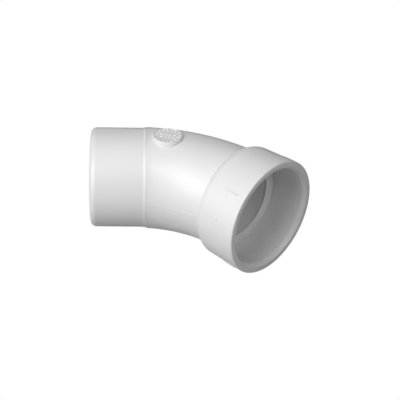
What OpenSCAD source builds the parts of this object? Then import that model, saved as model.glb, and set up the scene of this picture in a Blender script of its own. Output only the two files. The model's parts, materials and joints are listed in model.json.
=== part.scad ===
// A 45 degree street elbow for plastic drain pipe: a pipe-size spigot at one end, a socket
// hub at the other, and a curved tube between them. The real fitting is one moulding. Each
// module below is one region of it, and the regions meet face to face.
// The spigot points along -X, the bend lies in the XY plane and the marking pad faces +Z.

/* [Pipe] */
// Outside diameter of the pipe that the fitting joins
pipe_d = 48.26; // [44:0.01:54]
// Wall of the spigot, from the outside down to the waterway
wall_t = 3.93; // [3:0.01:5]

/* [Spigot] */
// Length of the spigot, from its tip to the start of the ramp
spigot_l = 25; // [22:0.1:40]
// Radius of the round nose at the tip
nose_r = 2.9; // [1:0.1:3]

/* [Shoulder] */
// Length of the ramp that rises from the spigot
ramp_l = 2.1; // [1:0.1:3]
// Width of the fine groove at the top of the ramp
groove_w = 0.35; // [0.2:0.05:0.6]
// Depth of the fine groove
groove_t = 0.22; // [0.1:0.01:0.3]
// Length of the band after the ramp
band_l = 1.7; // [1:0.1:3]
// Height of the band above the curved tube
band_t = 0.1; // [0.05:0.05:0.3]

/* [Bend] */
// Angle between the two centrelines
bend_a = 45; // [30:1:60]
// Radius of the bend's centreline
bend_r = 70.3; // [60:0.1:90]
// How far before the top of the ramp the curve starts
bend_lead = 5.4; // [0:0.1:8]
// Height of the curved tube above the spigot
body_t = 0.42; // [0.3:0.01:1]

/* [Hub] */
// Length of the hub, from its back to its mouth
hub_l = 23.3; // [20:0.1:40]
// Length of the hub that wraps over the end of the bend
hub_wrap = 3.5; // [2:0.1:5]
// Thickness of the ledge that stops the pipe
ledge_l = 0.7; // [0.5:0.1:3]
// How far the ledge stands into the waterway
ledge_lip = 1.1; // [0.2:0.1:1.5]
// How far the ledge is keyed into the wall of the hub
ledge_key = 0.5; // [0.4:0.1:1]
// Clearance all round the pipe in the socket
socket_gap = 0.13; // [0.05:0.01:0.2]
// Wall of the hub at its back
hub_wall = 3.6; // [3:0.1:5]
// How much the hub's radius grows towards the mouth
hub_draft = 0.75; // [0.2:0.05:1.2]
// Width of the lead-in chamfer at the mouth
lead_in = 1.35; // [0.8:0.05:2]
// Size of the small chamfer on the outer edge of the mouth
edge_c = 0.3; // [0.1:0.1:0.5]

/* [Marking pad] */
// Diameter of the round pad
pad_d = 15.1; // [12:0.1:16]
// Place of the pad along the bend
pad_a = 12.5; // [12.5:0.1:20]
// How far the pad stands from the top towards the inside of the bend
pad_side = 1.1; // [0:0.1:2]
// Height of the pad's flat face above the top of the curved tube
pad_t = 0.6; // [0.4:0.1:1.2]
// Height of the rim and the marks above the pad
relief_t = 0.35; // [0.2:0.05:0.5]
// Width of the pad's rim
pad_rim_w = 0.7; // [0.5:0.1:1]
// Number of dashes in the ring of marks
dashes = 16; // [8:1:18]
// Number of short bars in each of the two rows across the middle of the pad
bars = 4; // [2:1:5]

/* [Mould marks] */
// Width of the parting line
seam_w = 0.4; // [0.2:0.05:0.8]
// Height of the parting line
seam_t = 0.12; // [0.05:0.01:0.3]
// Length of an alignment tick on the hub
tick_l = 7; // [3:0.5:12]
// Width of an alignment tick
tick_w = 0.9; // [0.4:0.1:1]
// Height of an alignment tick
tick_t = 0.4; // [0.1:0.05:0.5]
// Distance from the mouth to the ticks
tick_inset = 4.3; // [2:0.1:6]
// Place of the first tick round the hub, from straight up
tick_a = 46; // [30:1:60]
// Diameter of the small pip on the hub
pip_d = 1.5; // [0.8:0.1:2]
// Distance from the hub's back to the pip
pip_s = 12.1; // [8:0.1:16]

/* [Hidden] */
$fn = 128;

pipe_r = pipe_d / 2;
bore_r = pipe_r - wall_t;
body_r = pipe_r + body_t;
band_r = body_r + band_t;
socket_r = pipe_r + socket_gap;
ledge_r = socket_r + ledge_key;
hub_back_r = socket_r + hub_wall;
hub_mouth_r = hub_back_r + hub_draft;
bend_x = ramp_l - bend_lead;     // where the curve starts on the spigot's axis
band_x = ramp_l + band_l;        // where the band ends
root_r = body_r - 0.4;           // the hub's back starts inside the tube's wall
back_round = hub_back_r - root_r;
pad_r = pad_d / 2;
pad_top = body_r + pad_t;
ramp_top_r = body_r + 0.05;      // the ramp ends just under the band
draft_a = atan(hub_draft / (hub_l - back_round));
tick_angles = [for (i = [0 : 3]) tick_a + 90 * i];
pip_angle = 75;                  // towards the inside of the bend, from straight up
far = 100;                       // longer than the whole fitting
cut = 1;                         // how far a cutting shape stands past what it cuts

// ---- places ----

// Puts a child drawn along +Z on the spigot's axis: +Z becomes -X, out of the fitting.
module along_spigot() {
    rotate([0, -90, 0]) children();
}

// Turns a shape drawn round the +Z axis so that it sits round the centre of the bend.
module round_bend(from_a = 0) {
    translate([bend_x, -bend_r, 0]) rotate([0, 0, 90 - from_a]) children();
}

// Puts a child on the hub's axis, with z = 0 at the hub's back and +Z out of the mouth.
// Local -X is straight up, and local -Y is the inside of the bend.
module along_hub() {
    end_x = bend_x + bend_r * sin(bend_a);
    end_y = -bend_r + bend_r * cos(bend_a);
    translate([end_x, end_y, 0])
        rotate([0, 90, -bend_a])
            translate([0, 0, -hub_wrap]) children();
}

// Puts a child on the hub's skin: z along the hub, x outwards, at an angle from straight
// up that grows towards the inside of the bend.
module on_hub(angle, s) {
    skin_r = hub_back_r + (s - back_round) * tan(draft_a);
    along_hub()
        rotate([0, 0, 180 + angle])
            translate([skin_r, 0, s])
                rotate([0, draft_a, 0]) children();
}

// ---- shared shapes ----

// The curved tube from where the curve starts up to an angle of the bend.
module bend_tube(to_a, outer, inner = 0) {
    round_bend(to_a)
        rotate_extrude(angle = to_a)
            translate([bend_r, 0])
                difference() {
                    circle(outer);
                    if (inner > 0) circle(inner);
                }
}

// Keeps what lies between two planes that stand square across the spigot's axis.
module between(from_x, to_x) {
    intersection() {
        children();
        translate([from_x, -far, -far]) cube([to_x - from_x, 2 * far, 2 * far]);
    }
}

// Puts a flat outline over the pad's place and raises it from one height to another.
module pad_layer(low, high) {
    pad_x = bend_x + bend_r * sin(pad_a);
    pad_y = -bend_r + bend_r * cos(pad_a) - pad_side;
    translate([pad_x, pad_y, low])
        rotate([0, 0, -pad_a])
            linear_extrude(high - low) children();
}

// Outline of the solid hub, radius across and length up.
module hub_outline() {
    polygon([
        [0, 0],
        [root_r, 0],
        [root_r, back_round],
        [hub_back_r, back_round],
        [hub_mouth_r, hub_l - edge_c],
        [hub_mouth_r - edge_c, hub_l],
        [0, hub_l]
    ]);
    intersection() {
        translate([root_r, back_round]) circle(back_round);
        translate([root_r, -cut]) square([back_round + cut, back_round + cut]);
    }
}

// A thin ridge along the bend, on its inside (side = -1) or its outside (side = 1).
// It starts at the band and ends where it meets the back of the hub.
module parting_line(side) {
    end_a = bend_a - asin(hub_wrap / (bend_r + side * body_r));
    between(band_x, far)
        round_bend(end_a)
            rotate_extrude(angle = end_a)
                translate([bend_r, 0])
                    difference() {
                        circle(body_r + seam_t);
                        circle(body_r);
                        translate([-far, seam_w / 2]) square(2 * far);
                        translate([-far, -seam_w / 2 - 2 * far]) square(2 * far);
                        translate([side > 0 ? -2 * far : 0, -far]) square(2 * far);
                    }
}

// ---- the regions of the moulding ----

// The pipe-size end, with a round nose that guides it into another fitting's socket.
module spigot() {
    color("white")
        along_spigot()
            rotate_extrude() {
                nose_x = pipe_r - nose_r;
                translate([bore_r, 0]) square([wall_t, spigot_l - nose_r]);
                translate([bore_r, 0]) square([nose_x - bore_r, spigot_l]);
                intersection() {
                    translate([nose_x, spigot_l - nose_r]) circle(nose_r);
                    translate([nose_x - cut / 2, spigot_l - nose_r - cut])
                        square([nose_r + cut, nose_r + 2 * cut]);
                }
            }
}

// The ramp that rises from the spigot to the curved tube, with a fine groove at its top.
module shoulder_ramp() {
    color("gainsboro")
        rotate([0, 90, 0])
            rotate_extrude()
                polygon([
                    [bore_r, 0],
                    [pipe_r, 0],
                    [ramp_top_r, ramp_l - groove_w],
                    [ramp_top_r - groove_t, ramp_l - groove_w / 2],
                    [ramp_top_r, ramp_l],
                    [bore_r, ramp_l]
                ]);
}

// The narrow raised band after the ramp.
module shoulder_band() {
    color("whitesmoke") between(ramp_l, band_x) bend_tube(bend_a, band_r, bore_r);
}

// The curved tube.
module bend() {
    color("whitesmoke") between(band_x, far) bend_tube(bend_a, body_r, bore_r);
}

// The socket end, drafted outside and bored for the pipe, with a lead-in at its mouth.
module hub() {
    color("white")
        difference() {
            along_hub()
                rotate_extrude()
                    difference() {
                        hub_outline();
                        translate([0, hub_wrap]) square([ledge_r, ledge_l]);
                        translate([0, hub_wrap]) square([socket_r, hub_l]);
                        polygon([
                            [socket_r - cut, hub_l - lead_in - cut],
                            [socket_r + lead_in + cut, hub_l + cut],
                            [socket_r - cut, hub_l + cut]
                        ]);
                    }
            bend_tube(bend_a, body_r);
        }
}

// The ring at the bottom of the socket that the pipe stops against. It carries the curved
// tube's wall on into the hub, and is keyed into the hub's wall.
module stop_ledge() {
    color("gainsboro")
        along_hub()
            translate([0, 0, hub_wrap])
                difference() {
                    cylinder(r = ledge_r, h = ledge_l);
                    translate([0, 0, -cut])
                        cylinder(r = bore_r - ledge_lip, h = ledge_l + 2 * cut);
                }
}

// The round pad over the mould's gate. Its face is flat and its foot follows the tube.
module gate_pad() {
    color("whitesmoke")
        difference() {
            pad_layer(bore_r, pad_top) circle(pad_r);
            bend_tube(2 * pad_a, body_r);
        }
}

// The raised edge of the pad.
module pad_rim() {
    color("white")
        pad_layer(pad_top, pad_top + relief_t)
            difference() {
                circle(pad_r - 0.3);
                circle(pad_r - 0.3 - pad_rim_w);
            }
}

// Plain marks inside the rim: a ring of dashes round two rows of short bars.
module pad_marks() {
    ring_r = pad_r - 0.3 - pad_rim_w - 1.3;
    bar_l = 1.5;
    bar_w = 0.9;
    bar_pitch = 2;
    row_pitch = 2.2;
    color("white")
        pad_layer(pad_top, pad_top + relief_t) {
            for (i = [0 : dashes - 1])
                rotate([0, 0, (i + 0.5) * 360 / dashes])
                    translate([ring_r - 0.6, -0.4]) square([1.2, 0.8]);
            for (i = [0 : bars - 1], side = [-1, 1]) {
                x = (i - (bars - 1) / 2) * bar_pitch;
                y = side * row_pitch / 2;
                translate([x - bar_l / 2, y - bar_w / 2]) square([bar_l, bar_w]);
            }
        }
}

// The fine ridges where the two halves of the mould met.
module parting_line_inner() {
    color("silver") parting_line(-1);
}

module parting_line_outer() {
    color("silver") parting_line(1);
}

// Four short ticks round the hub, for turning the elbow to a set angle.
module hub_ticks() {
    color("silver")
        for (a = tick_angles)
            on_hub(a, hub_l - tick_inset - tick_l)
                translate([0, -tick_w / 2, 0]) cube([tick_t, tick_w, tick_l]);
}

// A small round pip left by the mould.
module hub_pip() {
    color("silver")
        on_hub(pip_angle, pip_s)
            rotate([0, 90, 0]) cylinder(d = pip_d, h = tick_t);
}

spigot();
shoulder_ramp();
shoulder_band();
bend();
hub();
stop_ledge();
gate_pad();
pad_rim();
pad_marks();
parting_line_inner();
parting_line_outer();
hub_ticks();
hub_pip();
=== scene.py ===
# %% [markdown]
# # A white plastic street elbow
#
# This lesson dresses a finished CAD model: a 45 degree elbow for drain pipe, moulded in
# one shot of white PVC. One end is a spigot that enters another fitting, the other is a
# hub that takes the pipe. Nothing on it moves, so the whole lesson is about form, soft
# edges, the marks that a mould leaves, and a believable white plastic.
#
# The CAD model is loaded first. It fixes every size and place, in metres, and each piece
# that is made below has to stay inside its box.

# %% Load the frame
import json
import math

import bmesh
import bpy
from mathutils import Matrix, Vector


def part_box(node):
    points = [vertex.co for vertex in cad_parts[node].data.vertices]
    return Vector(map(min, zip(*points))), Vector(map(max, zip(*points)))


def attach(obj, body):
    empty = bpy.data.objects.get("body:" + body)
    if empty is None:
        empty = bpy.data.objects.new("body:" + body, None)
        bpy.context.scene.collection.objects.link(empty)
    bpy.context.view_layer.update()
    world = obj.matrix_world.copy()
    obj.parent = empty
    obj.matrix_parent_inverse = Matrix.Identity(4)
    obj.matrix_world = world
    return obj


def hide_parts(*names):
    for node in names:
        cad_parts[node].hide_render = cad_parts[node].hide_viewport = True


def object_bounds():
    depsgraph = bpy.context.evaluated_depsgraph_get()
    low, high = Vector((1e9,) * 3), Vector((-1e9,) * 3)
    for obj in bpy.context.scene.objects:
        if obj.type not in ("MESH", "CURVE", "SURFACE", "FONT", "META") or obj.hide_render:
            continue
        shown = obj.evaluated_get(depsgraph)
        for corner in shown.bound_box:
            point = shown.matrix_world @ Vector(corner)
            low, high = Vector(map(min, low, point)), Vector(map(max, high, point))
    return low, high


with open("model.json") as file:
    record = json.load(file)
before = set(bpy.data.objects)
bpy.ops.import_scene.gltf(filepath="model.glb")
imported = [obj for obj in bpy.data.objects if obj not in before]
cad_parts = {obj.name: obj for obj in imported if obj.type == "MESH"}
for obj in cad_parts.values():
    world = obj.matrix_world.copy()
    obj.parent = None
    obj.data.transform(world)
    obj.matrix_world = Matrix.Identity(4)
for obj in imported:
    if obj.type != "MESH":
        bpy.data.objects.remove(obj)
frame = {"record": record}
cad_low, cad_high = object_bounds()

MM = 0.001
print("CAD box, mm:", [round(v / MM, 1) for v in (cad_high - cad_low)])

# %% [markdown]
# ## Driving sizes
#
# The pipe radius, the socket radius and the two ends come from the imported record, and
# the radii of the ramp, the band and the curved tube come from the boxes of their CAD
# nodes. Only what a box can't tell is written down here: the wall, the radius of the
# bend's centreline, the place where its curve starts, and the small steps and roundings.

# %% Read the sizes from the frame
mounts = {m["name"]: m for m in frame["record"]["mounts"]}
PIPE_R = mounts["spigot"]["dims"]["r_mm"] * MM
SOCKET_R = mounts["hub_socket"]["dims"]["r_mm"] * MM
SPIGOT_L = -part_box("spigot")[0].x
RAMP_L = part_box("shoulder_ramp")[1].x
RAMP_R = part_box("shoulder_ramp")[1].z
BAND_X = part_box("shoulder_band")[1].x
BAND_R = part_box("shoulder_band")[1].z
BODY_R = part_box("bend")[1].z
HUB_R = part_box("hub")[1].z

WALL = 3.93 * MM
BORE_R = PIPE_R - WALL
BEND_R = 70.3 * MM
BEND_LEAD = 5.4 * MM
BEND_X = RAMP_L - BEND_LEAD

hub_axis = Vector(mounts["hub_mouth"]["axis"]).normalized()
mouth = Vector((*mounts["hub_mouth"]["pos_m"][:2], 0))
BEND_A = math.atan2(-hub_axis.y, hub_axis.x)
bend_centre = Vector((BEND_X, -BEND_R, 0))
bend_end = bend_centre + BEND_R * Vector((math.sin(BEND_A), math.cos(BEND_A), 0))
HUB_WRAP = 3.5 * MM
HUB_L = (mouth - bend_end).length + HUB_WRAP
print(f"pipe radius {PIPE_R / MM:.2f} mm, bend {math.degrees(BEND_A):.0f} degrees")
print(f"hub {HUB_L / MM:.1f} mm long, spigot {SPIGOT_L / MM:.1f} mm long")

# %% [markdown]
# ## Places
#
# Round pieces are easiest to draw upright, round the Z axis, and then to lay in place.
# `to_track_quat` gives the turn that points Z along a direction and keeps Y as near to
# straight up as it can, so on the hub Y is up and X is the outside of the bend.

# %% Two places for turned pieces
def upright_to(origin, direction):
    turn = direction.to_track_quat("Z", "Y").to_matrix().to_4x4()
    return Matrix.Translation(origin) @ turn


SPIGOT_PLACE = upright_to(Vector((0, 0, 0)), Vector((-1, 0, 0)))
RAMP_PLACE = upright_to(Vector((0, 0, 0)), Vector((1, 0, 0)))
HUB_PLACE = upright_to(mouth - hub_axis * HUB_L, hub_axis)
print("hub starts at, mm:", [round(v / MM, 1) for v in HUB_PLACE.translation])

# %% [markdown]
# ## Turned pieces
#
# The spigot, the ramp, the hub and its ledge are all turned shapes. A section is drawn as
# a closed loop of corners, each corner is rounded by a vertex bevel of its own size, and
# `spin` takes the loop once round. The alternative, cutting cylinders from each other,
# leaves knife edges, and it is the soft edge that makes plastic look moulded: it is where
# the light runs.
#
# Every piece is closed by the same function. It merges what `spin` left double, turns the
# faces outwards, and shades them smooth except over an edge of more than 40 degrees, as
# between a wall and a flat end. A Weighted Normal modifier then keeps the large faces
# evenly lit beside their small roundings.

# %% Make an object from a bmesh
SHARP_FROM = math.radians(40)
SAME_POINT = 0.001 * MM


def make_piece(name, bm):
    """Closes a bmesh into an object that sits at the origin, unturned and unscaled."""
    bmesh.ops.remove_doubles(bm, verts=bm.verts[:], dist=SAME_POINT)
    loose = [e for e in bm.edges if not e.link_faces]
    bmesh.ops.delete(bm, geom=loose, context="EDGES")
    bmesh.ops.recalc_face_normals(bm, faces=bm.faces[:])
    mesh = bpy.data.meshes.new(name)
    bm.to_mesh(mesh)
    bm.free()
    mesh.polygons.foreach_set("use_smooth", [True] * len(mesh.polygons))
    mesh.set_sharp_from_angle(angle=SHARP_FROM)
    piece = bpy.data.objects.new(name, mesh)
    bpy.context.scene.collection.objects.link(piece)
    normals = piece.modifiers.new("even_normals", "WEIGHTED_NORMAL")
    normals.keep_sharp = True
    print(f"{name}: {len(mesh.polygons)} faces")
    return piece


print("edges stay sharp from", round(math.degrees(SHARP_FROM)), "degrees")

# %% Turn a section round its axis
AROUND = 192
ARC_STEPS = 8


def add_section(bm, corners):
    """Draws a closed section from corners of (radius, length, rounding), all in mm."""
    loop = [bm.verts.new((r * MM, 0, s * MM)) for r, s, _ in corners]
    for a, b in zip(loop, loop[1:] + loop[:1]):
        bm.edges.new((a, b))
    for vert, (_, _, rounding) in zip(loop, corners):
        if rounding:
            bmesh.ops.bevel(
                bm, geom=[vert], offset=rounding * MM, segments=ARC_STEPS,
                profile=0.5, affect="VERTICES", material=-1,
            )


def turned(name, corners, place):
    """Spins a section into a solid of revolution and lays it in its place."""
    bm = bmesh.new()
    add_section(bm, corners)
    bmesh.ops.spin(
        bm, geom=bm.verts[:] + bm.edges[:], cent=(0, 0, 0), axis=(0, 0, 1),
        angle=math.tau, steps=AROUND, use_merge=True,
    )
    bmesh.ops.transform(bm, matrix=place, verts=bm.verts[:])
    return make_piece(name, bm)


print("a turned piece has", AROUND, "sides, and", ARC_STEPS, "steps in a rounding")

# %% [markdown]
# ## The spigot
#
# The pipe-size end. Its tip has a round nose so that it finds its way into a socket. The
# nose is one large rounding of the outer corner. The edge where the spigot meets the ramp
# stays sharp in the section, because the two pieces run on into each other.

# %% Spigot
pipe_r, bore_r, spigot_l = PIPE_R / MM, BORE_R / MM, SPIGOT_L / MM
NOSE_R, INNER_EDGE = 2.9, 0.3
spigot = turned(
    "spigot_shell",
    [
        (bore_r, 0, 0),
        (pipe_r, 0, 0),
        (pipe_r, spigot_l, NOSE_R),
        (bore_r, spigot_l, INNER_EDGE),
    ],
    SPIGOT_PLACE,
)

# %% [markdown]
# ## The ramp and its groove
#
# The ramp rises from the spigot with a small hollow at its foot, and a fine groove closes
# it. The groove is only a third of a millimetre deep, but its long wall faces away from
# the light and draws the dark line that tells the eye where the spigot ends. A bump map
# could paint that line, but it wouldn't follow the outline of the piece.

# %% Shoulder ramp
ramp_l, ramp_r = RAMP_L / MM, RAMP_R / MM
HAIR, FOOT_L = 0.02, 0.15
GROOVE_W, GROOVE_LIP, GROOVE_FLOOR = 0.6, 0.14, 0.45
ramp = turned(
    "shoulder_ramp_shell",
    [
        (bore_r, 0, 0),
        (pipe_r, 0, 0),
        (pipe_r + HAIR, FOOT_L, 0.12),
        (ramp_r - GROOVE_LIP, ramp_l - GROOVE_W, 0.15),
        (ramp_r - GROOVE_FLOOR, ramp_l - GROOVE_W / 5, 0.05),
        (ramp_r - HAIR, ramp_l, 0),
        (bore_r, ramp_l, 0),
    ],
    RAMP_PLACE,
)

# %% [markdown]
# ## The curved tube
#
# Two circles are bridged into a ring and the ring is spun round the centre of the bend,
# which gives both walls and both ends in one step. A curve object with a bevel depth could
# sweep the outside too, but it has no inner wall, and the inside of this tube is seen
# through the socket. The curve starts a little inside the spigot, so the tube is then cut
# square to the spigot with `bisect_plane`, and the cut wall is closed by a bridge.

# %% Sweep the tube and cut it square
def swept_tube(outer, to_a, steps):
    """The tube from where its curve starts up to an angle of the bend."""
    bm = bmesh.new()
    start = (
        Matrix.Translation(bend_centre)
        @ Matrix.Translation((0, BEND_R, 0))
        @ Matrix.Rotation(math.radians(90), 4, "Y")
    )
    for radius in (outer, BORE_R):
        bmesh.ops.create_circle(
            bm, cap_ends=False, radius=radius, segments=AROUND, matrix=start
        )
    bmesh.ops.bridge_loops(bm, edges=bm.edges[:])
    bmesh.ops.spin(
        bm, geom=bm.verts[:] + bm.edges[:] + bm.faces[:], cent=bend_centre,
        axis=(0, 0, -1), angle=to_a, steps=steps,
    )
    return bm


def cut_square(bm, x, keep):
    """Cuts across the spigot's axis at x and keeps the side that keep points to."""
    cut = bmesh.ops.bisect_plane(
        bm, geom=bm.verts[:] + bm.edges[:] + bm.faces[:], dist=0.0001 * MM,
        plane_co=(x, 0, 0), plane_no=(-keep, 0, 0), clear_outer=True,
    )
    rims = [e for e in cut["geom_cut"] if isinstance(e, bmesh.types.BMEdge)]
    bmesh.ops.bridge_loops(bm, edges=rims)


print("tube walls, mm:", [round((r - BORE_R) / MM, 2) for r in (BODY_R, BAND_R)])

# %% The bend
BEND_STEPS = 100
bend_bm = swept_tube(BODY_R, BEND_A, BEND_STEPS)
cut_square(bend_bm, BAND_X, 1)
bend = make_piece("bend_shell", bend_bm)

# %% [markdown]
# ## The band
#
# The band is a slice of the same tube, a tenth of a millimetre proud. A hard step there
# would draw a dark line, so the slice is eased down to the tube over most of its length.
# Its skin is moved in towards the centreline by a smooth step of the distance that is
# left. Only the first quarter of the bend is swept, because the slice lies well inside it.

# %% The band
BAND_EASE = 1.6 * MM
BAND_STEPS = 60
band_bm = swept_tube(BAND_R, BEND_A / 4, BAND_STEPS)
cut_square(band_bm, RAMP_L, 1)
cut_square(band_bm, BAND_X, -1)
for vert in band_bm.verts:
    on_arc = bend_centre + (vert.co.xy - bend_centre.xy).normalized().to_3d() * BEND_R
    off_arc = vert.co - on_arc
    left = min(max((BAND_X - vert.co.x) / BAND_EASE, 0), 1)
    if off_arc.length > BODY_R and left < 1:
        rise = (BAND_R - BODY_R) * left * left * (3 - 2 * left)
        vert.co = on_arc + off_arc.normalized() * (BODY_R + rise)
band = make_piece("shoulder_band_shell", band_bm)

# %% [markdown]
# ## The hub
#
# The hub is drafted, so it widens a little towards the mouth, and its back is a generous
# round that comes from the cutter that made the mould. Its section starts inside the wall
# of the tube, where it can't be seen, and leaves the tube's skin in a small hollow fillet.
# The back takes two corners, because one large rounding would leave no room for the
# fillet beside it. At the mouth a lead-in chamfer helps the pipe into the socket.

# %% Hub
hub_l, hub_r, body_r, socket_r = (v / MM for v in (HUB_L, HUB_R, BODY_R, SOCKET_R))
wrap = HUB_WRAP / MM
HUB_DRAFT = 0.75
FILLET, FILLET_FOOT = 0.65, 0.8
LIP_ROUND, LEAD_IN, LEAD_IN_L = 0.9, 1.35, 1.755
hub_back_r = hub_r - HUB_DRAFT
hidden_r = body_r - 1.5
hub = turned(
    "hub_shell",
    [
        (hidden_r, -FILLET_FOOT, 0),
        (body_r - 0.1, -FILLET_FOOT, 0),
        (body_r + 0.1, -0.15, FILLET),
        (hub_back_r - 1.5, 0.15, 1.0),
        (hub_back_r - 0.03, 2.2, 1.4),
        (hub_r, hub_l, LIP_ROUND),
        (socket_r + LEAD_IN, hub_l, 0.25),
        (socket_r, hub_l - LEAD_IN_L, 0.6),
        (socket_r, wrap, 0),
        (hidden_r, wrap, 0),
    ],
    HUB_PLACE,
)

# %% [markdown]
# ## The stop ledge
#
# The pipe goes in until it meets this ring. It is drawn as one more turned section, keyed
# into the hub's wall. Its inner edge slopes, so it catches the light, and its outer edge
# falls away into a small dark gutter beside the socket's wall. A plain flat ring would
# melt into the shade of the socket.

# %% Stop ledge
LEDGE_L, LEDGE_LIP, LEDGE_KEY = 0.7, 1.1, 0.3
GUTTER_W, GUTTER_T = 0.5, 0.6
SLOPE_W, SLOPE_T = 1.0, 0.4
ledge_r, ledge_s = bore_r - LEDGE_LIP, wrap + LEDGE_L
ledge = turned(
    "stop_ledge_ring",
    [
        (ledge_r, wrap, 0.2),
        (socket_r + LEDGE_KEY, wrap, 0),
        (socket_r + LEDGE_KEY, ledge_s - GUTTER_T, 0),
        (socket_r - GUTTER_W, ledge_s, 0.15),
        (ledge_r + SLOPE_W, ledge_s, 0.5),
        (ledge_r, ledge_s - SLOPE_T, 0.2),
    ],
    HUB_PLACE,
)

# %% [markdown]
# ## The marking pad
#
# A round pad stands over the spot where the plastic entered the mould, and a fitting
# carries its marks there. Here the marks are plain: a rim, a ring of dashes and two rows
# of bars. The pad's face is flat, so it stands higher over the tube at its near and far
# edges than along the tube's top. Its foot simply runs into the wall of the tube, deep
# enough to reach the skin all round, which is simpler than fitting it to the curve and
# can't be told from it.

# %% The pad's place
PAD_A, PAD_SIDE = math.radians(12.5), 1.1 * MM
PAD_PLACE = (
    Matrix.Translation(bend_centre + Vector((0, -PAD_SIDE, BODY_R)))
    @ Matrix.Rotation(-PAD_A, 4, "Z")
    @ Matrix.Translation((0, BEND_R, 0))
)
print("pad stands at, mm:", [round(v / MM, 1) for v in PAD_PLACE.translation])

# %% Pad and rim
PAD_R, PAD_T, PAD_TAPER, PAD_FOOT = 7.55, 0.6, 0.4, 2.6
RELIEF_T, SUNK, SOFT_EDGE = 0.35, 0.2, 0.2
pad = turned(
    "gate_pad_disc",
    [
        (0, -PAD_FOOT, 0),
        (PAD_R + PAD_TAPER, -PAD_FOOT, 0),
        (PAD_R - PAD_TAPER, PAD_T, 0.35),
        (0, PAD_T, 0),
    ],
    PAD_PLACE,
)
RIM_OUT, RIM_IN = PAD_R - 0.7, PAD_R - 1.2
relief_top = PAD_T + RELIEF_T
rim = turned(
    "pad_rim_ring",
    [
        (RIM_OUT, PAD_T - SUNK, 0),
        (RIM_OUT, relief_top, SOFT_EDGE),
        (RIM_IN, relief_top, SOFT_EDGE),
        (RIM_IN, PAD_T - SUNK, 0),
    ],
    PAD_PLACE,
)

# %% [markdown]
# Dashes, bars and the ticks on the hub are all small blocks with bevelled edges, so one
# function adds such a block to a bmesh. Text objects could stand on the pad instead, but
# the marks are meant to say nothing, and blocks are lighter.

# %% Add a soft-edged block
def add_block(bm, place, sizes, edge):
    """A block of the given sizes round a place, with its edges bevelled, all in mm."""
    size = Matrix.Diagonal((*(v * MM for v in sizes), 1))
    made = bmesh.ops.create_cube(bm, size=1, matrix=place @ size)
    edges = list({e for v in made["verts"] for e in v.link_edges})
    bmesh.ops.bevel(
        bm, geom=edges, offset=edge * MM, segments=3,
        profile=0.5, affect="EDGES", material=-1,
    )


print("relief stands", RELIEF_T, "mm over the pad")

# %% Plain marks
DASHES, DASH_L, DASH_W = 16, 1.2, 0.8
BARS, BAR_L, BAR_W, BAR_PITCH, ROW_PITCH = 4, 1.5, 0.9, 2.0, 2.2
MARK_H, MARK_EDGE = RELIEF_T + SUNK, 0.15
ring_r = RIM_IN - 1.0


def add_mark(bm, x, y, turn, length, width):
    """A mark at x, y on the pad, then turned about the pad's axis."""
    spot = Matrix.Translation((x * MM, y * MM, (relief_top - MARK_H / 2) * MM))
    place = Matrix.Rotation(turn, 4, "Z") @ spot
    add_block(bm, place, (length, width, MARK_H), MARK_EDGE)


marks_bm = bmesh.new()
for i in range(DASHES):
    add_mark(marks_bm, ring_r, 0, (i + 0.5) * math.tau / DASHES, DASH_L, DASH_W)
for i in range(BARS):
    for side in (-0.5, 0.5):
        x = (i - (BARS - 1) / 2) * BAR_PITCH
        add_mark(marks_bm, x, side * ROW_PITCH, 0, BAR_L, BAR_W)
bmesh.ops.transform(marks_bm, matrix=PAD_PLACE, verts=marks_bm.verts[:])
marks = make_piece("pad_mark_relief", marks_bm)

# %% [markdown]
# ## The parting lines
#
# Two halves of a mould meet in the plane of the bend and leave a fine ridge on the inside
# and on the outside of the tube. It is swept like the tube, from a flat oval that is half
# sunk in the skin. A curve with a bevel depth would be as quick, but its round section
# would stand too proud.

# %% Parting lines
SEAM_W, SEAM_T = 0.4, 0.12
SEAM_STEPS = 80


def parting_line(name, side):
    """side is -1 for the inside of the bend and 1 for the outside."""
    ridge_r = BEND_R + side * BODY_R
    from_a = math.asin((BAND_X - BEND_X) / ridge_r)
    to_a = BEND_A - math.asin(HUB_WRAP / ridge_r)
    bm = bmesh.new()
    oval = Matrix.Diagonal((1, SEAM_T * MM, SEAM_W / 2 * MM, 1))
    start = (
        Matrix.Translation(bend_centre)
        @ Matrix.Rotation(-from_a, 4, "Z")
        @ Matrix.Translation((0, ridge_r, 0))
        @ oval
        @ Matrix.Rotation(math.radians(90), 4, "Y")
    )
    bmesh.ops.create_circle(bm, cap_ends=True, radius=1, segments=12, matrix=start)
    bmesh.ops.spin(
        bm, geom=bm.verts[:] + bm.edges[:] + bm.faces[:], cent=bend_centre,
        axis=(0, 0, -1), angle=to_a - from_a, steps=SEAM_STEPS,
    )
    return make_piece(name, bm)


seam_inner = parting_line("parting_ridge_inner", -1)
seam_outer = parting_line("parting_ridge_outer", 1)

# %% [markdown]
# ## Ticks and pip
#
# Four ticks on the hub help to turn the elbow to a set angle, and a small pip shows where
# an ejector of the mould stood. Both are half sunk in the drafted skin of the hub. The
# ticks have wide bevels: on so low a ridge it is the slope that makes it show.

# %% A place on the hub's skin
draft_a = math.atan2(HUB_DRAFT, hub_l)


def on_hub(angle, s):
    """A place on the hub's skin: X outwards, Z along the hub, angle from straight up."""
    skin_r = (hub_back_r + (s / hub_l) * HUB_DRAFT) * MM
    return (
        HUB_PLACE
        @ Matrix.Rotation(math.radians(90) + angle, 4, "Z")
        @ Matrix.Translation((skin_r, 0, s * MM))
        @ Matrix.Rotation(draft_a, 4, "Y")
    )


print(f"the hub's draft is {math.degrees(draft_a):.1f} degrees")

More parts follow.
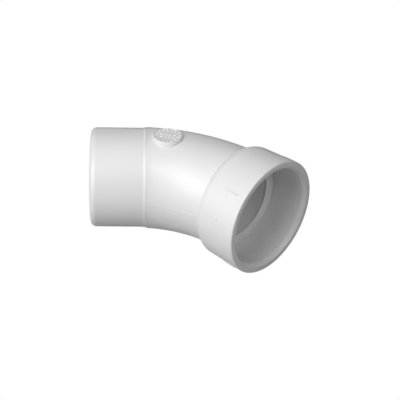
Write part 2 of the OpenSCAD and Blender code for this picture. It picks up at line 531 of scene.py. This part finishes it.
# %% Ticks
TICK_A, TICK_L, TICK_W, TICK_T = 46, 7, 0.9, 0.4
TICK_INSET, TICK_EDGE = 4.3, 0.36
ticks_bm = bmesh.new()
for i in range(4):
    angle = math.radians(TICK_A + 90 * i)
    place = on_hub(angle, hub_l - TICK_INSET - TICK_L / 2)
    add_block(ticks_bm, place, (2 * TICK_T, TICK_W, TICK_L), TICK_EDGE)
ticks = make_piece("hub_tick_marks", ticks_bm)

# %% Pip
PIP_R, PIP_T, PIP_S, PIP_A = 0.75, 0.33, 12.1, math.radians(75)
pip_bm = bmesh.new()
flat = Matrix.Diagonal((PIP_T * MM, PIP_R * MM, PIP_R * MM, 1))
bmesh.ops.create_uvsphere(
    pip_bm, u_segments=24, v_segments=12, radius=1, matrix=on_hub(PIP_A, PIP_S) @ flat
)
pip = make_piece("hub_pip_dome", pip_bm)

# %% [markdown]
# ## White PVC
#
# Moulded PVC is nearly neutral white, a little glossy, and slightly clear in its first
# half millimetre. What keeps it from looking like paint is small: the skin is faintly
# wavy where it shrank, the gloss is uneven where it was handled, and the steel of the
# mould left its own fine lines. These effects are shared by every material, so each is a
# node group that puts out a height or a mask, and the shader stays in the material.

# %% Node helpers
def new_group(name, inputs, outputs):
    """A shader node group with number sockets, and its two end nodes."""
    group = bpy.data.node_groups.new(name, "ShaderNodeTree")
    for label, default in inputs:
        socket = group.interface.new_socket(
            label, in_out="INPUT", socket_type="NodeSocketFloat"
        )
        socket.default_value = default
    for label in outputs:
        group.interface.new_socket(
            label, in_out="OUTPUT", socket_type="NodeSocketFloat"
        )
    return group, group.nodes.new("NodeGroupInput"), group.nodes.new("NodeGroupOutput")


def math_node(tree, operation, a, b):
    """a and b are each a number or another node's output."""
    node = tree.nodes.new("ShaderNodeMath")
    node.operation = operation
    for socket, value in zip(node.inputs, (a, b)):
        if isinstance(value, float):
            socket.default_value = value
        else:
            tree.links.new(value, socket)
    return node.outputs[0]


def noise_node(tree, coords, scale, detail, roughness=0.5):
    node = tree.nodes.new("ShaderNodeTexNoise")
    tree.links.new(coords, node.inputs["Vector"])
    node.inputs["Scale"].default_value = scale
    node.inputs["Detail"].default_value = detail
    node.inputs["Roughness"].default_value = roughness
    return node.outputs["Fac"]


print("node helpers are ready")

# %% [markdown]
# The skin group adds two noises into one height: slow waves some 15 mm long, and a peel
# finer than a millimetre. Each material sets how much of either it wants. A third noise
# goes out as a tone, for the faint unevenness of colour and gloss.

# %% Skin group
skin_group, g_in, g_out = new_group(
    "moulded_skin", [("Waves", 1.0), ("Peel", 1.0)], ["Height", "Tone"]
)
coords = skin_group.nodes.new("ShaderNodeTexCoord").outputs["Object"]
waves = noise_node(skin_group, coords, 70.0, 1.0)
peel = noise_node(skin_group, coords, 1500.0, 2.0)
tone = noise_node(skin_group, coords, 45.0, 3.0, 0.6)
height = math_node(
    skin_group, "ADD",
    math_node(skin_group, "MULTIPLY", waves, g_in.outputs["Waves"]),
    math_node(skin_group, "MULTIPLY", peel, g_in.outputs["Peel"]),
)
skin_group.links.new(height, g_out.inputs["Height"])
skin_group.links.new(tone, g_out.inputs["Tone"])
print("skin group:", len(skin_group.nodes), "nodes")

# %% [markdown]
# The scuff group is a mask of thin, faint scratches. A noise that is squeezed along one
# direction by a Mapping node turns into streaks, and only its peaks are kept. Two sets at
# different turns cross each other, and a slow noise breaks them into patches.

# %% Scuff group
STREAK_SQUEEZE, STREAK_PEAK = 0.06, 0.72
scuff_group, g_in, g_out = new_group("handling_scuffs", [("Amount", 0.5)], ["Mask"])
coords = scuff_group.nodes.new("ShaderNodeTexCoord").outputs["Object"]
masks = []
for scale, roll, turn in ((1280.0, 0.0, 0.5), (1760.0, 2.1, 1.9)):
    mapping = scuff_group.nodes.new("ShaderNodeMapping")
    mapping.inputs["Rotation"].default_value = (roll, 0.4, turn)
    mapping.inputs["Scale"].default_value = (1.0, STREAK_SQUEEZE, STREAK_SQUEEZE)
    scuff_group.links.new(coords, mapping.inputs["Vector"])
    streaks = noise_node(scuff_group, mapping.outputs["Vector"], scale, 1.0)
    masks.append(math_node(scuff_group, "GREATER_THAN", streaks, STREAK_PEAK))
patches = noise_node(scuff_group, coords, 60.0, 2.0)
both = math_node(scuff_group, "MAXIMUM", masks[0], masks[1])
worn = math_node(scuff_group, "MULTIPLY", both, patches)
scuff_group.links.new(
    math_node(scuff_group, "MULTIPLY", worn, g_in.outputs["Amount"]),
    g_out.inputs["Mask"],
)
print("node groups:", [g.name for g in bpy.data.node_groups])

# %% [markdown]
# The plastic is a Principled shader with a little subsurface light, so that its edges
# don't look like chalk. The tone moves the white by one or two hundredths and the
# roughness by a few, which is as much as a clean moulding shows.

# %% The plastic itself
GLOSS_SPREAD = 0.08


def white_pvc(name, white, rough, waves, peel, scuffs, bump):
    """White plastic. bump is the height of the skin's relief in mm."""
    material = bpy.data.materials.new(name)
    material.use_nodes = True
    tree = material.node_tree
    shader = tree.nodes["Principled BSDF"]
    shader.inputs["IOR"].default_value = 1.53
    shader.inputs["Subsurface Weight"].default_value = 0.12
    shader.inputs["Subsurface Radius"].default_value = (1.0, 0.95, 0.9)
    shader.inputs["Subsurface Scale"].default_value = 0.6 * MM

    skin = tree.nodes.new("ShaderNodeGroup")
    skin.node_tree = skin_group
    skin.inputs["Waves"].default_value = waves
    skin.inputs["Peel"].default_value = peel
    scuff = tree.nodes.new("ShaderNodeGroup")
    scuff.node_tree = scuff_group
    scuff.inputs["Amount"].default_value = scuffs

    shade = white * 0.985
    whites = tree.nodes.new("ShaderNodeValToRGB")
    dull, clean = whites.color_ramp.elements
    dull.position, clean.position = 0.3, 0.7
    dull.color = (shade, shade, shade * 0.996, 1)
    clean.color = (white, white, white, 1)
    tree.links.new(skin.outputs["Tone"], whites.inputs["Fac"])
    tree.links.new(whites.outputs["Color"], shader.inputs["Base Color"])

    uneven = math_node(tree, "MULTIPLY", skin.outputs["Tone"], GLOSS_SPREAD)
    gloss = math_node(tree, "ADD", uneven, rough - GLOSS_SPREAD / 2)
    gloss = math_node(tree, "ADD", gloss, scuff.outputs["Mask"])
    tree.links.new(gloss, shader.inputs["Roughness"])

    relief = tree.nodes.new("ShaderNodeBump")
    relief.inputs["Distance"].default_value = bump * MM
    relief.inputs["Strength"].default_value = 1.0
    tree.links.new(skin.outputs["Height"], relief.inputs["Height"])
    tree.links.new(relief.outputs["Normal"], shader.inputs["Normal"])
    return material


# %% [markdown]
# The finishes differ little, as they do on the real part, except in one white. The pad is
# matt, because that spot of a mould is left rough. The ledge has a lighter white, which is
# painted light: it brightens the ledge in the shade at the bottom of the socket.

# %% One finish for each slot
# slot: white, roughness, waves, peel, scuffs, bump in mm
FINISHES = {
    "white_pvc": (0.80, 0.38, 1.0, 0.05, 0.12, 0.05),
    "white_pvc_hub": (0.80, 0.38, 1.0, 0.05, 0.12, 0.05),
    # white_pvc_socket: its lighter white is painted light, which lifts the shade deep in
    # the socket
    "white_pvc_socket": (0.88, 0.42, 0.6, 0.05, 0.2, 0.05),
    "white_pvc_matt": (0.79, 0.55, 0.3, 0.9, 0.0, 0.06),
    "white_pvc_relief": (0.80, 0.40, 0.3, 0.2, 0.0, 0.04),
    "white_pvc_flash": (0.78, 0.50, 1.0, 0.5, 0.3, 0.05),
}
finish_of = {slot: white_pvc(slot, *values) for slot, values in FINISHES.items()}
print("finishes:", list(finish_of))

# %% [markdown]
# ## Dress the pieces
#
# Each piece stands for one CAD node, takes its finish from that node's material slot and
# rides on the elbow's one body.

# %% Assign, ride and replace
slot_of = {s["node"]: s["material_slot"] for s in frame["record"]["subparts"]}
dressed = {
    "spigot": spigot,
    "shoulder_ramp": ramp,
    "shoulder_band": band,
    "bend": bend,
    "hub": hub,
    "stop_ledge": ledge,
    "gate_pad": pad,
    "pad_rim": rim,
    "pad_marks": marks,
    "parting_line_inner": seam_inner,
    "parting_line_outer": seam_outer,
    "hub_ticks": ticks,
    "hub_pip": pip,
}
for node, piece in dressed.items():
    piece.data.materials.append(finish_of[slot_of[node]])
    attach(piece, "root")
    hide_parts(node)
print(len(dressed), "pieces ride on the elbow")

# %% [markdown]
# ## Floor and air
#
# The elbow lies on a seamless pale sweep. To the camera the sweep is plain white. To the
# elbow it is a dim card, so that the underside of the plastic keeps its shade instead of
# being washed out by light from below. A Light Path node tells the two apart. The air is
# made the same way: white to the camera, and dark to the elbow, so that all of its light
# comes from the soft boxes.

# %% Floor
FLOOR_SIZE = 4.0
floor_bm = bmesh.new()
bmesh.ops.create_grid(floor_bm, x_segments=1, y_segments=1, size=FLOOR_SIZE)
bmesh.ops.translate(floor_bm, verts=floor_bm.verts[:], vec=(0, 0, cad_low.z))
floor = make_piece("floor", floor_bm)


# %% White to the camera only
def seen_white(tree, other, glow, end):
    """Joins other to the end node, but shows white, made by a glow node, to the camera."""
    path = tree.nodes.new("ShaderNodeLightPath")
    white = tree.nodes.new(glow)
    white.inputs["Color"].default_value = (1, 1, 1, 1)
    white.inputs["Strength"].default_value = 1.0
    mix = tree.nodes.new("ShaderNodeMixShader")
    tree.links.new(path.outputs["Is Camera Ray"], mix.inputs["Fac"])
    tree.links.new(other.outputs[0], mix.inputs[1])
    tree.links.new(white.outputs[0], mix.inputs[2])
    tree.links.new(mix.outputs[0], tree.nodes[end].inputs["Surface"])
    print("white to the camera:", end)


# %% Floor paint
CARD_GREY = 0.35
floor_paint = bpy.data.materials.new("floor_white")
floor_paint.use_nodes = True
tree = floor_paint.node_tree
card = tree.nodes["Principled BSDF"]
card.inputs["Base Color"].default_value = (CARD_GREY, CARD_GREY, CARD_GREY, 1)
card.inputs["Roughness"].default_value = 0.9
seen_white(tree, card, "ShaderNodeEmission", "Material Output")
floor.data.materials.append(floor_paint)

# %% Air
world = bpy.data.worlds.new("studio_air")
bpy.context.scene.world = world
world.use_nodes = True
tree = world.node_tree
air = tree.nodes["Background"]
air.inputs["Color"].default_value = (1, 1, 1, 1)
air.inputs["Strength"].default_value = 0.0
seen_white(tree, air, "ShaderNodeBackground", "World Output")

# %% [markdown]
# ## Lights
#
# Large soft boxes only, all the same size and at the same distance. The two main ones
# stand to the left of the camera, so the light rolls over the tube from upper left and
# leaves the mouth of the hub dim. The rest are weaker: they open the shade on the right,
# along the top and at the back.

# %% Soft boxes
BOX_DISTANCE, BOX_SIZE = 1.2, 0.7
centre = (cad_low + cad_high) / 2


def soft_box(name, azimuth, elevation, power):
    """Azimuth 0 stands at the camera's side, -Y, and 90 at the right, +X."""
    a, e = math.radians(azimuth), math.radians(elevation)
    way = Vector((math.sin(a) * math.cos(e), -math.cos(a) * math.cos(e), math.sin(e)))
    lamp = bpy.data.lights.new(name, "AREA")
    lamp.shape = "DISK"
    lamp.size = BOX_SIZE
    lamp.energy = power
    holder = bpy.data.objects.new(name, lamp)
    bpy.context.scene.collection.objects.link(holder)
    holder.location = centre + way * BOX_DISTANCE
    holder.rotation_euler = way.to_track_quat("Z", "Y").to_euler()
    holder.visible_camera = False
    print(f"{name}: {power} W")


soft_box("key_low", -60, 25, 6.45)
soft_box("key_high", -45, 50, 5.78)
soft_box("front_low", -35, 5, 1.3)
soft_box("left_side", -80, 5, 0.74)
soft_box("front_right", 30, 45, 2.89)
soft_box("right_low", 45, 10, 0.52)
soft_box("right_side", 75, 35, 0.34)
soft_box("back", 180, 50, 0.3)
soft_box("back_low", 180, 4, 1.0)
soft_box("top", 0, 88, 1.7)

# %% [markdown]
# ## Camera
#
# A long lens from a little over half a metre, looking down at 33 degrees, with the turn
# and tilt that a hand-set camera has. The Standard view keeps white plastic white, where
# a filmic one would grey it.

# %% Camera
YAW, PITCH, ROLL = (math.radians(v) for v in (3.251, 33.245, 2.281))
LENS, NEAREST = 108.33, 0.01
camera = bpy.data.objects.new("camera", bpy.data.cameras.new("camera"))
bpy.context.scene.collection.objects.link(camera)
camera.data.lens = LENS
camera.data.clip_start = NEAREST
camera.rotation_euler = (
    Matrix.Rotation(-YAW, 4, "Z")
    @ Matrix.Rotation(math.radians(90) - PITCH, 4, "X")
    @ Matrix.Rotation(ROLL, 4, "Z")
).to_euler()
camera.location = (0.00023, -0.49785, 0.31387)
bpy.context.scene.camera = camera
bpy.context.scene.view_settings.view_transform = "Standard"
print("camera", round((camera.location - centre).length, 3), "m from the elbow")
